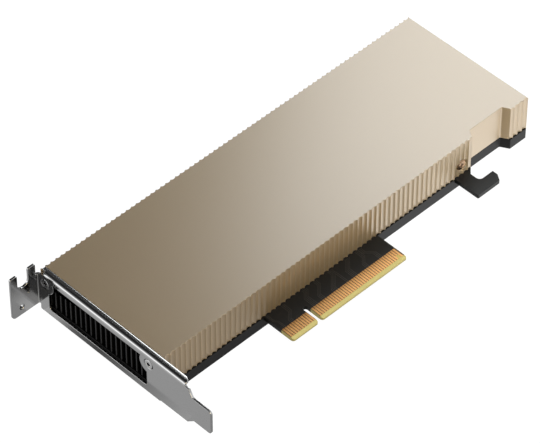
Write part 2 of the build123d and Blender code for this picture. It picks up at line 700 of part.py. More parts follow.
def make_chips():
    """Everything soldered to the board or clamped between it and the metalwork."""
    gpu = [(gpu_x, centre_y)]
    die_z = board_top + gpu_package[2]
    paste = (gpu_die[0], gpu_die[1], paste_t)
    pad_top = (memory[0] - 2 * pad_inset, memory[1] - 2 * pad_inset, base_gap - memory[2])
    back_room = board_low - floor_top_z
    pad_back = (pad_top[0], pad_top[1], back_room - memory[2])
    phase_y = [y for _, y in phase_places()]
    stages = [(stage_x, y) for y in phase_y]
    stage_pad = (power_stage[0], phase_y[-1] - phase_y[0] + power_stage[1],
                 base_gap - power_stage[2])
    caps = [(polymer_cap_x, y) for y in places_across(polymer_cap_pitch, polymer_cap_margin)]
    ceramics = [(gpu_x + (i - (ceramic_columns - 1) / 2) * ceramic_pitch,
                 centre_y + (j - (ceramic_rows - 1) / 2) * ceramic_pitch)
                for i in range(ceramic_columns) for j in range(ceramic_rows)]
    return {
        "gpu_package": top_parts(gpu, gpu_package),
        "gpu_die": top_parts(gpu, gpu_die, die_z),
        "thermal_paste": top_parts(gpu, paste, die_z + gpu_die[2]),
        "memory_chips": top_parts(memory_places(), memory),
        "memory_pads": top_parts(memory_places(), pad_top, board_top + memory[2]),
        "memory_chips_back": back_parts(memory_places(), memory),
        "memory_pads_back": back_parts(memory_places(), pad_back, board_low - memory[2]),
        "inductors": top_parts(phase_places(), inductor),
        "power_stages": top_parts(stages, power_stage),
        "power_stage_pad": top_parts([(stage_x, centre_y)], stage_pad, board_top + power_stage[2]),
        "polymer_capacitors": top_parts(caps, polymer_cap),
        "ceramic_capacitors": back_parts(ceramics, ceramic_cap),
        "power_controller": top_parts([(far_chip_x, centre_y + chip_row_offset)], power_controller),
        "input_fuse": top_parts([(far_chip_x, centre_y - chip_row_offset)], input_fuse),
        "management_controller": top_parts([(near_chip_x, centre_y + chip_row_offset)],
                                           management_controller),
        "firmware_flash": top_parts([(near_chip_x, centre_y - chip_row_offset)], firmware_flash),
        "clock_crystal": top_parts([(near_chip_x + crystal_offset[0], centre_y + crystal_offset[1])],
                                   clock_crystal),
    }


def make_nodes():
    """Every sub-part of the card as lists of solids under their node names."""
    nodes = {
        "shroud": [make_shroud()],
        "heatsink": [make_heatsink()],
        "circuit_board": [make_board()],
        "contacts_front": make_fingers(board_top, fingers_short + fingers_long - 2),
        "contacts_back": make_fingers(board_low - finger_t, 0),
        "backplate_tray": [make_tray()],
        "insulator_film": [make_film()],
        "bracket": [make_bracket()],
        "bracket_screws": place_all(
            countersunk_screw(m25_r, m25_head_r, m25_head_t, bracket_screw_length),
            bracket_screw_seats()),
        "side_screws": place_all(
            low_head_screw(side_screw_r, side_head_r, side_head_t, side_screw_length,
                           side_head_edge),
            side_screw_seats()),
        "tray_screws": place_all(
            low_head_screw(m25_r, tray_head_r, tray_head_t, tray_screw_length),
            tray_screw_seats()),
    }
    nodes.update(make_chips())
    return nodes


os.makedirs("parts", exist_ok=True)
for name, pieces in make_nodes().items():
    solids = [s for piece in pieces for s in piece.solids()]
    shape = solids[0] if len(solids) == 1 else Compound(solids)
    export_step(shape, f"parts/{name}.step")
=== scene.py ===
import functools
import logging
import math
from collections.abc import Callable
from dataclasses import dataclass, field
from enum import Enum

import bmesh
import bpy
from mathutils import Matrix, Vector


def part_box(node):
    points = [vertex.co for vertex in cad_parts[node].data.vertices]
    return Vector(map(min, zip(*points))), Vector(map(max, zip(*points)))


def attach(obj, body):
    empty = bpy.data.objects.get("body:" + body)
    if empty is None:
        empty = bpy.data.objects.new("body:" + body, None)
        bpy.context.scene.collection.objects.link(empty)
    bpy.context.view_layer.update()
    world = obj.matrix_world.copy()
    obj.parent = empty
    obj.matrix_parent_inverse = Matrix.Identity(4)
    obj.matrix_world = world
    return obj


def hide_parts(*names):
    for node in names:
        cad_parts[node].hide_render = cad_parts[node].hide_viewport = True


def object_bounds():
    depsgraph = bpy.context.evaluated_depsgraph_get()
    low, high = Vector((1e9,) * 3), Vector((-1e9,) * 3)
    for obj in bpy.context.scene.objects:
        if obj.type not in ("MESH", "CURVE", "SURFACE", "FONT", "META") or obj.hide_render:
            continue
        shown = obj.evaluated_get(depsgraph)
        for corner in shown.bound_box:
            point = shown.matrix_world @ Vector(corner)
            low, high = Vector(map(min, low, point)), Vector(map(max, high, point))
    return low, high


# Passive accelerator card: the finishes, the fine pieces, the light and the camera. X runs along
# the card from the bracket, Y away from the edge connector, Z out of the component side. Lengths
# are in metres, with real sizes written in millimetres and turned to metres by MM.

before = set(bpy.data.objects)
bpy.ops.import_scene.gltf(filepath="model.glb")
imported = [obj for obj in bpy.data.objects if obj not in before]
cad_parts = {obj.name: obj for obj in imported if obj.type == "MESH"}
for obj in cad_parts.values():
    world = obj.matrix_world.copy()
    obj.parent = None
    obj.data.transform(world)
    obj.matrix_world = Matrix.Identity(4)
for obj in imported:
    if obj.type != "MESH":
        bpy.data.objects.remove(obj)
LOADED_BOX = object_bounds()

LOG = logging.getLogger("accelerator_card")
MM = 0.001
NEAR_MM = 0.02          # corners closer than this are at the same place
LOOSE_MM = 0.06         # the same beside a curve that is cut in flats
WELD_MM = 0.002         # corners of a CAD mesh closer than this are joined
FLAT_DEG = 0.5          # faces that turn less than this are one face
BRUSH_STRETCH = 0.04    # how much the lines of a brushed grain are stretched along the card
GLOSS_SWING = 0.1       # share by which the roughness varies over the grain

Colour = tuple[float, float, float, float]
Point = tuple[float, float, float]
Stops = tuple[tuple[float, float], ...]
Test = Callable[[list[Vector], Vector], bool]
Tree = bpy.types.NodeTree
Socket = bpy.types.NodeSocket
Piece = bpy.types.Object


class Surface(Enum):
    """How a surface was made, which sets the pattern of its grain."""

    BLASTED = "bead blasted"
    BRUSHED = "brushed along the card"
    MOULDED = "moulded or sprayed"
    PLATED = "plated over rolled sheet"


class Pick(Enum):
    """What a selection in edit mode is made of."""

    CORNERS = "VERT"
    EDGES = "EDGE"
    FACES = "FACE"


class Recess(Enum):
    """Shape of the hole in a screw's head that takes the driver."""

    CROSS = "tapered cross"
    STAR = "six-lobed star"


def srgb(code: str) -> Colour:
    """Turn an sRGB hex colour into linear light.

    Args:
        code: Colour as #rrggbb.

    Returns:
        Linear red, green and blue, with an alpha of one.
    """
    channels = [int(code[i:i + 2], 16) / 255 for i in (1, 3, 5)]
    linear = [c / 12.92 if c <= 0.04045 else ((c + 0.055) / 1.055) ** 2.4 for c in channels]
    return (linear[0], linear[1], linear[2], 1.0)


def per_metre(size_mm: float) -> float:
    """Texture scale of a pattern whose features are this size in millimetres."""
    return 1.0 / (size_mm * MM)


def add_node(tree: Tree, kind: str, settings: dict | None = None,
             inputs: dict | None = None) -> bpy.types.Node:
    """Add one node to a tree with its settings and links.

    Args:
        tree: Node tree that gets the node.
        kind: Type name of the node.
        settings: Properties of the node and their values.
        inputs: Values or source sockets for the node's inputs, by name or number.

    Returns:
        The new node.
    """
    node = tree.nodes.new(kind)
    for name, value in (settings or {}).items():
        setattr(node, name, value)
    for name, value in (inputs or {}).items():
        if isinstance(value, Socket):
            tree.links.new(value, node.inputs[name])
        else:
            node.inputs[name].default_value = value
    return node


def compute(tree: Tree, operation: str, *values: float | Socket) -> Socket:
    """Add one step of arithmetic on its values and give the socket of the result."""
    return add_node(tree, "ShaderNodeMath", {"operation": operation}, dict(enumerate(values))).outputs[0]


def mix_colours(tree: Tree, share: Socket, first: list[float] | Socket,
                second: list[float] | Socket) -> Socket:
    """Add a mix of two colours.

    Args:
        tree: Node tree that gets the mix.
        share: Zero for the first colour and one for the second.
        first: First colour.
        second: Second colour.

    Returns:
        Socket of the mixed colour.
    """
    node = add_node(tree, "ShaderNodeMix", {"data_type": "RGBA"}, {"Factor": share, 6: first, 7: second})
    return node.outputs[2]


def object_axes(tree: Tree) -> bpy.types.Node:
    """Add the node whose X, Y and Z are the place on the object, in metres."""
    where = add_node(tree, "ShaderNodeTexCoord").outputs["Object"]
    return add_node(tree, "ShaderNodeSeparateXYZ", inputs={"Vector": where})


def add_ramp(tree: Tree, place: Socket, stops: Stops, top: float = 1.0) -> Socket:
    """Add a ramp of greys.

    Args:
        tree: Node tree that gets the ramp.
        place: Place on the ramp, from zero to one.
        stops: Places on the ramp and the brightness there.
        top: Brightness that the ramp calls one.

    Returns:
        Socket of the brightness, as a share of the top one.
    """
    node = add_node(tree, "ShaderNodeValToRGB", inputs={"Fac": place})
    band = node.color_ramp.elements
    for element, (level, light) in zip(band, (stops[0], stops[-1])):
        element.position = level
        element.color = [light / top] * 3 + [1.0]
    for level, light in stops[1:-1]:
        band.new(level).color = [light / top] * 3 + [1.0]
    return node.outputs["Color"]


@dataclass(frozen=True)
class Finish:
    """One real material: its colour, its gloss and the grain that its making leaves.

    Args:
        name: Material's name.
        base: sRGB colour.
        metallic: One for bare or plated metal.
        roughness: Mean roughness.
        surface: How the surface was made.
        grain_mm: Size of the grain.
        relief_mm: Height of the grain.
        tone: Share by which the colour varies over the grain.
        edge_mm: Radius that wear or deburring leaves on the edges.
        coat: Weight of a clear layer on top.
        coat_roughness: Roughness of that layer.
        coat_ior: Refractive index of that layer.
        specular: Strength of the mirror on a surface that isn't metal.
    """

    name: str
    base: str
    metallic: float
    roughness: float
    surface: Surface
    grain_mm: float
    relief_mm: float
    tone: float = 0.05
    edge_mm: float = 0.0
    coat: float = 0.0
    coat_roughness: float = 0.3
    coat_ior: float = 1.5
    specular: float = 0.5

    def place(self, tree: Tree) -> Socket:
        """Object coordinates, stretched along the card where the surface is brushed.

        Args:
            tree: Node tree of the material.

        Returns:
            Socket of the coordinates.
        """
        where = add_node(tree, "ShaderNodeTexCoord").outputs["Object"]
        if self.surface is not Surface.BRUSHED:
            return where
        stretch = add_node(tree, "ShaderNodeMapping",
                           inputs={"Vector": where, "Scale": (BRUSH_STRETCH, 1.0, 1.0)})
        return stretch.outputs["Vector"]

    def grain(self, tree: Tree) -> Socket:
        """Grey pattern of the grain, from zero to one.

        Args:
            tree: Node tree of the material.

        Returns:
            Socket of the pattern.
        """
        noise = add_node(tree, "ShaderNodeTexNoise",
                         inputs={"Vector": self.place(tree), "Scale": per_metre(self.grain_mm),
                                 "Detail": 3.0, "Roughness": 0.6})
        return noise.outputs["Fac"]

    def colour(self, tree: Tree, grain: Socket) -> Socket:
        """Base colour, a little lighter and darker over the grain."""
        return self.vary(tree, srgb(self.base), grain)

    def vary(self, tree: Tree, base: Colour, grain: Socket) -> Socket:
        """Spread a colour to either side of itself over the grain.

        Args:
            tree: Node tree of the material.
            base: Linear colour.
            grain: Pattern that drives the spread.

        Returns:
            Socket of the varied colour.
        """
        low = [c * (1 - self.tone) for c in base[:3]] + [1.0]
        high = [min(1.0, c * (1 + self.tone)) for c in base[:3]] + [1.0]
        spread = add_node(tree, "ShaderNodeMapRange",
                          inputs={"Value": grain, "From Min": 0.3, "From Max": 0.7})
        return mix_colours(tree, spread.outputs["Result"], low, high)

    def make(self) -> bpy.types.Material:
        """Build the material with its grain, gloss and rounded edges.

        Returns:
            The new material.
        """
        material = bpy.data.materials.new(self.name)
        material.use_nodes = True
        tree = material.node_tree
        shader = tree.nodes["Principled BSDF"]
        grain = self.grain(tree)
        tree.links.new(self.colour(tree, grain), shader.inputs["Base Color"])
        gloss = add_node(tree, "ShaderNodeMapRange",
                         inputs={"Value": grain, "From Min": 0.2, "From Max": 0.8,
                                 "To Min": self.roughness * (1 - GLOSS_SWING),
                                 "To Max": self.roughness * (1 + GLOSS_SWING)})
        tree.links.new(gloss.outputs["Result"], shader.inputs["Roughness"])
        shader.inputs["Metallic"].default_value = self.metallic
        shader.inputs["Coat Weight"].default_value = self.coat
        shader.inputs["Coat Roughness"].default_value = self.coat_roughness
        shader.inputs["Coat IOR"].default_value = self.coat_ior
        shader.inputs["Specular IOR Level"].default_value = self.specular
        bump_inputs = {"Height": grain, "Distance": self.relief_mm * MM, "Strength": 1.0}
        if self.edge_mm:
            edge = add_node(tree, "ShaderNodeBevel", {"samples": 6}, {"Radius": self.edge_mm * MM})
            bump_inputs["Normal"] = edge.outputs["Normal"]
        bump = add_node(tree, "ShaderNodeBump", inputs=bump_inputs)
        tree.links.new(bump.outputs["Normal"], shader.inputs["Normal"])
        return material


@dataclass(frozen=True)
class MaskedLaminate(Finish):
    """Glass-epoxy board under black solder mask, left bare round the gold fingers.

    Args:
        bare: Colour of the bare laminate between the fingers, painted dark brown, a painted shade in the
            narrow gaps.
        ground: Colour of the bare laminate in front of their ends.
        ground_y: Level of those ends, in metres like all the places below.
        short_x: Near and far side of the short finger.
        short_y: Level of its end.
        cut: Colour of the laminate where it was milled.
        covered_cut: The same beside the mask, where it lets through less light.
        mask_low_y: Lower edge of the mask on the connector.
        bare_x: Near and far side of the bare strip.
        half_t: Half of the board's thickness.
    """

    bare: str = "#3f2c15"
    ground: str = "#86733a"
    ground_y: float = 1.3 * MM
    short_x: tuple[float, float] = (36.9 * MM, 38.1 * MM)
    short_y: float = 2.8 * MM
    cut: str = "#847b49"
    covered_cut: str = "#0b0c0a"
    mask_low_y: float = 5.6 * MM
    bare_x: tuple[float, float] = (-12.5 * MM, 40.0 * MM)
    half_t: float = 0.785 * MM

    def colour(self, tree: Tree, grain: Socket) -> Socket:
        """Mask colour, with bare laminate below the mask and milled laminate at the edges.

        Args:
            tree: Node tree of the material.
            grain: Pattern of the grain.

        Returns:
            Socket of the colour.
        """
        parts = object_axes(tree)
        below = self.between(tree, parts, self.bare_x, self.mask_low_y)
        open_ground = compute(tree, "MAXIMUM",
                              self.between(tree, parts, self.bare_x, self.ground_y),
                              self.between(tree, parts, self.short_x, self.short_y))
        height = compute(tree, "ABSOLUTE", parts.outputs["Z"])
        milled = compute(tree, "LESS_THAN", height, self.half_t - NEAR_MM * MM)
        mask, covered_cut, bare, ground, cut = (
            self.vary(tree, srgb(code), grain)
            for code in (self.base, self.covered_cut, self.bare, self.ground, self.cut))
        # the dark brown between the fingers is a painted shade in the gaps; the olive ground is the
        # laminate's own colour
        laminate = mix_colours(tree, open_ground, bare, ground)
        return mix_colours(tree, below, mix_colours(tree, milled, mask, covered_cut),
                           mix_colours(tree, milled, laminate, cut))

    @staticmethod
    def between(tree: Tree, parts: bpy.types.Node, sides: tuple[float, float], top: float) -> Socket:
        """One between two sides along X and below a level along Y, zero elsewhere.

        Args:
            tree: Node tree of the material.
            parts: Node that parts the place into its three directions.
            sides: Near and far side, in metres.
            top: Level along Y, in metres.

        Returns:
            Socket with the one or zero.
        """
        inside = compute(tree, "LESS_THAN", parts.outputs["Y"], top)
        for side, test in zip(sides, ("GREATER_THAN", "LESS_THAN")):
            inside = compute(tree, "MULTIPLY", inside, compute(tree, test, parts.outputs["X"], side))
        return inside


@dataclass(frozen=True)
class ZonedFinish(Finish):
    """Finish whose colour changes past a level along one of the object's own axes; the finishes below use
    it for painted shade and for a painted highlight.

    Args:
        axis: Direction of the object's own axis that parts the zones.
        level_mm: Where the second zone starts along it.
        beyond: Whether the second zone lies above that level.
        zone: Colour of the second zone.
    """

    axis: str = "Z"
    level_mm: float = 0.0
    beyond: bool = True
    zone: str = "#000000"

    def colour(self, tree: Tree, grain: Socket) -> Socket:
        """Colour of the finish, and past the level the colour of the second zone.

        Args:
            tree: Node tree of the material.
            grain: Pattern of the grain.

        Returns:
            Socket of the colour.
        """
        test = "GREATER_THAN" if self.beyond else "LESS_THAN"
        past = compute(tree, test, object_axes(tree).outputs[self.axis], self.level_mm * MM)
        return mix_colours(tree, past, self.vary(tree, srgb(self.base), grain),
                           self.vary(tree, srgb(self.zone), grain))


# Bead-blasted aluminium, anodised champagne gold: a soft satin metal with a fine, even sparkle
CHAMPAGNE = Finish("anodised_aluminium_champagne", "#bca888", 1.0, 0.70, Surface.BLASTED,
                   grain_mm=0.30, relief_mm=0.004, tone=0.05, coat=1.0,
                   coat_roughness=0.28, coat_ior=2.2)
# Black anodised aluminium: dark grey with a satin sheen. Above 0.6 mm, on the rim's top that shows in the
# cover's flutes, it is painted near black, a painted shade in the gap under the cover
BLACK_ANODISED = ZonedFinish("anodised_aluminium_black", "#0f0f10", 0.0, 0.46, Surface.BLASTED,
                             grain_mm=0.25, relief_mm=0.003, tone=0.10, specular=0.20,
                             axis="Z", level_mm=0.60, zone="#010101")
# Black anodised fins: duller than the tray and painted darker, a painted shade for the fin sides deep
# behind the bracket's window; the ends nearest the bracket, past -56.9 mm along X, are painted lighter, a
# painted highlight where light through the window falls on them
BLACK_FINS = ZonedFinish("anodised_aluminium_fins", "#040404", 0.0, 0.50, Surface.BRUSHED,
                         grain_mm=0.12, relief_mm=0.002, tone=0.15, specular=0.2,
                         axis="X", level_mm=-56.9, beyond=False, zone="#1f1f20")
# Nickel-plated steel sheet: a bright grey mirror that the rolling has made slightly soft
NICKEL_SHEET = Finish("nickel_plated_steel", "#c2c2c2", 1.0, 0.13, Surface.PLATED,
                      grain_mm=0.35, relief_mm=0.0002, tone=0.03)
# Nickel-plated steel screws: brighter than the sheet; past -58.0 mm along X, in the recess and the groove
# round the head, painted dark, a painted shade
NICKEL_SCREW = ZonedFinish("nickel_plated_screw", "#dcdcdc", 1.0, 0.14, Surface.PLATED,
                           grain_mm=0.20, relief_mm=0.001, tone=0.05, edge_mm=0.08,
                           axis="X", level_mm=-58.00, zone="#1c1c1c")
# Bronze-plated steel screws: warm brown metal
BRONZE_SCREW = Finish("bronze_plated_screw", "#a88a6c", 1.0, 0.20, Surface.PLATED,
                      grain_mm=0.20, relief_mm=0.002, tone=0.06, edge_mm=0.06)
# Black oxide steel screws: nearly black, with a dull oily sheen
BLACK_SCREW = Finish("black_oxide_screw", "#202021", 0.8, 0.34, Surface.PLATED,
                     grain_mm=0.15, relief_mm=0.002, tone=0.10, edge_mm=0.06)
# Solder mask on laminate: satin black; where bare, olive, and brown between the fingers, a painted shade in
# the narrow gaps; yellow at the milled edge
BOARD = MaskedLaminate("solder_mask_laminate", "#08090a", 0.0, 0.44, Surface.MOULDED,
                       grain_mm=0.40, relief_mm=0.003, tone=0.10, edge_mm=0.08, specular=0.28)
# Hard gold over copper: warm orange gold with a soft shine
HARD_GOLD = Finish("hard_gold_plate", "#b58957", 1.0, 0.28, Surface.PLATED,
                   grain_mm=0.15, relief_mm=0.002, tone=0.05)
# Copper traces under the solder mask: the mask is thinner there and looks a little lighter
MASKED_COPPER = Finish("solder_mask_over_copper", "#141413", 0.0, 0.42, Surface.MOULDED,
                       grain_mm=0.30, relief_mm=0.002, tone=0.10)
# Polyester film: smooth dark sheet
FILM = Finish("polyester_film", "#121212", 0.0, 0.30, Surface.MOULDED, grain_mm=0.8,
              relief_mm=0.002, tone=0.06)
# Moulded epoxy: charcoal with a fine dull grain
EPOXY = Finish("moulded_epoxy", "#262626", 0.0, 0.55, Surface.MOULDED, grain_mm=0.10,
               relief_mm=0.003, tone=0.10)
# Organic chip substrate: dark green and smooth
SUBSTRATE = Finish("organic_substrate", "#21402b", 0.0, 0.40, Surface.MOULDED, grain_mm=0.20,
                   relief_mm=0.002, tone=0.06)
# Polished silicon: dark blue-grey mirror
SILICON = Finish("polished_silicon", "#4a4b55", 0.6, 0.08, Surface.PLATED, grain_mm=1.0,
                 relief_mm=0.0005, tone=0.03)
# Thermal grease: matt grey paste, spread unevenly
GREASE = Finish("thermal_grease", "#9b9b99", 0.0, 0.60, Surface.MOULDED, grain_mm=0.9,
                relief_mm=0.02, tone=0.08)
# Filled silicone pad: soft blue-grey with a powdery look
SILICONE_PAD = Finish("filled_silicone_pad", "#7f8fa3", 0.0, 0.75, Surface.MOULDED, grain_mm=0.3,
                      relief_mm=0.01, tone=0.07)
# Pressed ferrite powder: dark grey and grainy
FERRITE = Finish("pressed_ferrite", "#3c3c3d", 0.1, 0.62, Surface.MOULDED, grain_mm=0.15,
                 relief_mm=0.006, tone=0.14)
# Moulded yellow resin of the polymer capacitors
CAPACITOR_RESIN = Finish("capacitor_resin", "#b08a2c", 0.0, 0.45, Surface.MOULDED, grain_mm=0.2,
                         relief_mm=0.003, tone=0.06)
# Fired ceramic: brown and slightly glossy
CERAMIC = Finish("fired_ceramic", "#8a6a48", 0.0, 0.34, Surface.MOULDED, grain_mm=0.1,
                 relief_mm=0.002, tone=0.08)
# Plated metal can: bright and smooth
PLATED_CAN = Finish("plated_can", "#c9c9c6", 1.0, 0.22, Surface.PLATED, grain_mm=0.2,
                    relief_mm=0.001, tone=0.03)

NODE_FINISHES: dict[Finish, tuple[str, ...]] = {
    CHAMPAGNE: ("shroud",),
    BLACK_FINS: ("heatsink",),
    BLACK_ANODISED: ("backplate_tray",),
    BOARD: ("circuit_board",),
    HARD_GOLD: ("contacts_front", "contacts_back"),
    NICKEL_SHEET: ("bracket",),
    NICKEL_SCREW: ("bracket_screws",),
    BRONZE_SCREW: ("side_screws",),
    BLACK_SCREW: ("tray_screws",),
    FILM: ("insulator_film",),
    SUBSTRATE: ("gpu_package",),
    SILICON: ("gpu_die",),
    GREASE: ("thermal_paste",),
    SILICONE_PAD: ("memory_pads", "memory_pads_back", "power_stage_pad"),
    EPOXY: ("memory_chips", "memory_chips_back", "power_stages", "power_controller",
            "management_controller", "firmware_flash"),
    FERRITE: ("inductors",),
    CAPACITOR_RESIN: ("polymer_capacitors",),
    CERAMIC: ("ceramic_capacitors", "input_fuse"),
    PLATED_CAN: ("clock_crystal",),
}


@functools.cache
def material_of(finish: Finish) -> bpy.types.Material:
    """Material of a finish, built the first time that a piece asks for it."""
    return finish.make()


def dress(piece: Piece, finish: Finish) -> None:
    """Make a finish the only material of an object."""
    piece.data.materials.clear()
    piece.data.materials.append(material_of(finish))


def dress_nodes() -> None:
    """Give every CAD node the material of its finish."""
    for finish, names in NODE_FINISHES.items():
        for name in names:
            dress(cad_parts[name], finish)
            LOG.info("node %s: %s", name, finish.name)


def only(piece: Piece) -> None:
    """Select one object alone and make it the active one.

    Args:
        piece: Object that is selected.
    """
    bpy.ops.object.select_all(action="DESELECT")
    piece.select_set(True)
    bpy.context.view_layer.objects.active = piece


def pick(piece: Piece, what: Pick, test: Test) -> None:
    """Select the parts of a piece in edit mode that pass a test, and no others.

    Args:
        piece: Object in edit mode.
        what: Kind of part to select.
        test: Takes a part's corners in millimetres and the normal of a face or corner.
    """
    bpy.ops.mesh.select_mode(type=what.value)
    bpy.ops.mesh.select_all(action="DESELECT")
    mesh = bmesh.from_edit_mesh(piece.data)
    parts = {Pick.CORNERS: mesh.verts, Pick.EDGES: mesh.edges, Pick.FACES: mesh.faces}[what]
    for part in parts:
        corners = [part] if what is Pick.CORNERS else list(part.verts)
        normal = Vector() if what is Pick.EDGES else part.normal
        part.select_set(test([corner.co / MM for corner in corners], normal))
    bmesh.update_edit_mesh(piece.data)


def apply_modifier(piece: Piece, kind: str, **settings: object) -> None:
    """Add one modifier to a piece and apply it.

    Args:
        piece: Object that is changed.
        kind: Type name of the modifier.
        settings: Properties of the modifier and their values.
    """
    only(piece)
    modifier = piece.modifiers.new(kind.lower(), kind)
    for name, value in settings.items():
        setattr(modifier, name, value)
    bpy.ops.object.modifier_apply(modifier=modifier.name)


def primitive(add: Callable, **settings: object) -> Piece:
    """Add a primitive with the origin at the world's own.

    Args:
        add: Operator that adds it.
        settings: The operator's settings.

    Returns:
        The new object, selected alone.
    """
    bpy.ops.object.select_all(action="DESELECT")
    add(**settings)
    bpy.ops.object.transform_apply(location=True, rotation=True, scale=True)
    return bpy.context.active_object


def new_piece(name: str, mesh: bpy.types.Mesh) -> Piece:
    """Put a copy of a mesh in the scene and select it alone.

    Args:
        name: Name of the new piece.
        mesh: Mesh that is copied.

    Returns:
        The new piece, at the origin.
    """
    piece = bpy.data.objects.new(name, mesh.copy())
    bpy.context.scene.collection.objects.link(piece)
    only(piece)
    return piece


def merged_copy(node: str, name: str) -> Piece:
    """Copy a CAD node, join its loose triangles and clear the lines across its flat faces.

    Args:
        node: Name of the CAD node.
        name: Name of the new piece.

    Returns:
        The new piece, in object mode.
    """
    piece = new_piece(name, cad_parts[node].data)
    bpy.ops.object.mode_set(mode="EDIT")
    bpy.ops.mesh.select_all(action="SELECT")
    bpy.ops.mesh.remove_doubles(threshold=WELD_MM * MM)
    bpy.ops.mesh.dissolve_limited(angle_limit=math.radians(FLAT_DEG))
    bpy.ops.object.mode_set(mode="OBJECT")
    return piece


def round_edges(piece: Piece, width_mm: float, corner_deg: float, segments: int = 2) -> None:
    """Round the edges that are sharper than an angle.

    Args:
        piece: Object that is changed.
        width_mm: How far the rounding reaches on either face.
        corner_deg: Least angle between the faces of such an edge.
        segments: Steps across the rounding.
    """
    apply_modifier(piece, "BEVEL", limit_method="ANGLE", angle_limit=math.radians(corner_deg),
                   width=width_mm * MM, segments=segments, use_clamp_overlap=False)


def smooth(piece: Piece, angle_deg: float = 35.0) -> None:
    """Shade the curved faces smooth, with the large faces kept flat.

    Args:
        piece: Object that is changed.
        angle_deg: Angle above which an edge stays sharp.
    """
    only(piece)
    bpy.ops.object.shade_smooth_by_angle(angle=math.radians(angle_deg), keep_sharp_edges=True)
    apply_modifier(piece, "WEIGHTED_NORMAL", keep_sharp=True, weight=100)


def hand_over(piece: Piece, finish: Finish, slot: str, *nodes: str) -> None:
    """Dress a finished piece and tie it to the frame.

    Args:
        piece: Finished piece, at the origin.
        finish: What it is made of.
        slot: Material slot of the record; not used.
        nodes: CAD nodes that it stands for.
    """
    dress(piece, finish)
    if nodes:
        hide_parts(*nodes)
    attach(piece, "root")
    LOG.info("piece %s: %d faces, %s", piece.name, len(piece.data.polygons), finish.name)


@dataclass
class Cover:
    """Fluted cover with softened rims and a rounded corner at the back of its notch.

    Args:
        rim_mm: Rounding of the rims, left by the bead blasting.
        rim_deg: Least angle of the edges that are rounded.
        notch_far_x: Wall at the notch's far end, in millimetres.
        notch_y: Nearest and farthest place of the corner behind that wall.
        notch_least_height: Least height of the edge in that corner.
        corner_mm: Radius of that corner.
    """

    rim_mm: float = 0.12
    rim_deg: float = 80.0
    notch_far_x: float = 102.8
    notch_y: tuple[float, float] = (15.0, 25.0)
    notch_least_height: float = 5.0
    corner_mm: float = 0.8

    def in_notch_corner(self, corners: list[Vector], normal: Vector) -> bool:
        """Whether an edge stands in the notch's far inner corner.

        Args:
            corners: Ends of the edge, in millimetres.
            normal: Not used for an edge.

        Returns:
            True for that edge alone.
        """
        start, end = corners
        upright = abs(start.x - end.x) < NEAR_MM and abs(start.y - end.y) < NEAR_MM
        at_wall = abs(start.x - self.notch_far_x) < LOOSE_MM and self.notch_y[0] < start.y < self.notch_y[1]
        return upright and at_wall and abs(start.z - end.z) > self.notch_least_height

    def build(self) -> None:
        """Copy the CAD cover, round its edges and dress it."""
        piece = merged_copy("shroud", "cover")
        bpy.ops.object.mode_set(mode="EDIT")
        pick(piece, Pick.EDGES, self.in_notch_corner)
        bpy.ops.mesh.bevel(offset=self.corner_mm * MM, segments=5, affect="EDGES", clamp_overlap=False)
        bpy.ops.object.mode_set(mode="OBJECT")
        round_edges(piece, self.rim_mm, self.rim_deg)
        smooth(piece)
        hand_over(piece, CHAMPAGNE, "anodised_shroud", "shroud")


@dataclass
class Heatsink:
    """Black fins that reach up to the back of the bracket, where its window shows them.

    Args:
        fin_start_x: Ends of the fins in the CAD, in millimetres.
        reach_mm: How much further they come.
    """

    fin_start_x: float = -55.40
    reach_mm: float = 1.55

    def build(self) -> None:
        """Copy the CAD heatsink and draw the ends of its fins out to the bracket."""
        piece = merged_copy("heatsink", "finned_heatsink")
        bpy.ops.object.mode_set(mode="EDIT")
        pick(piece, Pick.CORNERS, lambda corners, normal: corners[0].x < self.fin_start_x)
        bpy.ops.transform.translate(value=(-self.reach_mm * MM, 0.0, 0.0))
        bpy.ops.object.mode_set(mode="OBJECT")
        smooth(piece)
        hand_over(piece, BLACK_FINS, "black_heatsink", "heatsink")


@dataclass
class Tray:
    """Milled back tray with broken edges.

    Args:
        edge_mm: Width of the broken edges.
        edge_deg: Least angle of the edges that are broken.
    """

    edge_mm: float = 0.12
    edge_deg: float = 60.0

    def build(self) -> None:
        """Copy the CAD tray, round its edges and dress it."""
        piece = merged_copy("backplate_tray", "tray")
        round_edges(piece, self.edge_mm, self.edge_deg)
        smooth(piece)
        hand_over(piece, BLACK_ANODISED, "black_tray", "backplate_tray")


